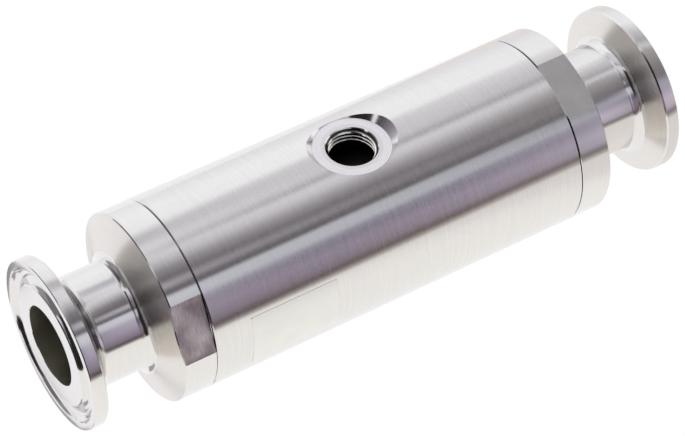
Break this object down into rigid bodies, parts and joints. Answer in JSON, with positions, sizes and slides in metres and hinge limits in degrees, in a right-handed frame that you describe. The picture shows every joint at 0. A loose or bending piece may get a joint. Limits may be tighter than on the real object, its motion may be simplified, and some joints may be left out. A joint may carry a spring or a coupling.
{
  "type": "pinch valve",
  "caption": "Straight tubular pinch valve in turned stainless steel: a rubber sleeve closed by air through a threaded port, with screw-in end caps that end in clamp ferrules.",
  "frame": {"origin": "on the flow axis, half way between the two ferrule faces", "axes": "+X along the flow axis from inlet to outlet, +Z out of the air port, +Y completes the right-handed frame"},
  "size_m": [0.13, 0.0381, 0.038],
  "materials": {
    "steel": "turned stainless steel with fine circumferential tool marks",
    "seal_rubber": "smooth black rubber cord",
    "slip_plastic": "natural white low-friction plastic",
    "ring_plastic": "turned natural plastic",
    "sleeve_rubber": "moulded black rubber",
    "film": "thin silver film, bare"
  },
  "bodies": {
    "housing": {"housing_tube": "steel", "label_film": "film", "inlet_support_ring_upper": "ring_plastic", "inlet_support_ring_lower": "ring_plastic", "outlet_support_ring_upper": "ring_plastic", "outlet_support_ring_lower": "ring_plastic", "sleeve_inlet_collar": "sleeve_rubber", "sleeve_outlet_collar": "sleeve_rubber"},
    "inlet_washer": {"inlet_slip_washer": "slip_plastic"},
    "inlet_cap": {"inlet_end_cap": "steel", "inlet_cap_seal_ring": "seal_rubber"},
    "outlet_washer": {"outlet_slip_washer": "slip_plastic"},
    "outlet_cap": {"outlet_end_cap": "steel", "outlet_cap_seal_ring": "seal_rubber"},
    "upper_lip": {"sleeve_upper_wall": "sleeve_rubber"},
    "lower_lip": {"sleeve_lower_wall": "sleeve_rubber"}
  },
  "joints": [
    {"name": "inlet_cap_travel", "type": "slide", "parent": "housing", "child": "inlet_washer", "axis": [-1, 0, 0], "range_m": [0, 0.015]},
    {"name": "inlet_cap_turn", "type": "hinge", "parent": "inlet_washer", "child": "inlet_cap", "pos_m": [-0.0406, 0, 0], "axis": [-1, 0, 0], "range_deg": [0, 3600]},
    {"name": "outlet_cap_travel", "type": "slide", "parent": "housing", "child": "outlet_washer", "axis": [1, 0, 0], "range_m": [0, 0.015]},
    {"name": "outlet_cap_turn", "type": "hinge", "parent": "outlet_washer", "child": "outlet_cap", "pos_m": [0.0406, 0, 0], "axis": [1, 0, 0], "range_deg": [0, 3600]},
    {"name": "upper_lip_close", "type": "slide", "parent": "housing", "child": "upper_lip", "axis": [0, 0, -1], "range_m": [0, 0.008], "stiffness_N_per_m": 6000, "deforming": ["sleeve_upper_wall"]},
    {"name": "lower_lip_close", "type": "slide", "parent": "housing", "child": "lower_lip", "axis": [0, 0, 1], "range_m": [0, 0.008], "stiffness_N_per_m": 6000, "deforming": ["sleeve_lower_wall"]}
  ],
  "couplings": [
    {"joint": "inlet_cap_travel", "follows": "inlet_cap_turn", "m_per_rad": 0.00023873},
    {"joint": "outlet_cap_travel", "follows": "outlet_cap_turn", "m_per_rad": 0.00023873},
    {"joint": "lower_lip_close", "follows": "upper_lip_close", "ratio": 1}
  ]
}
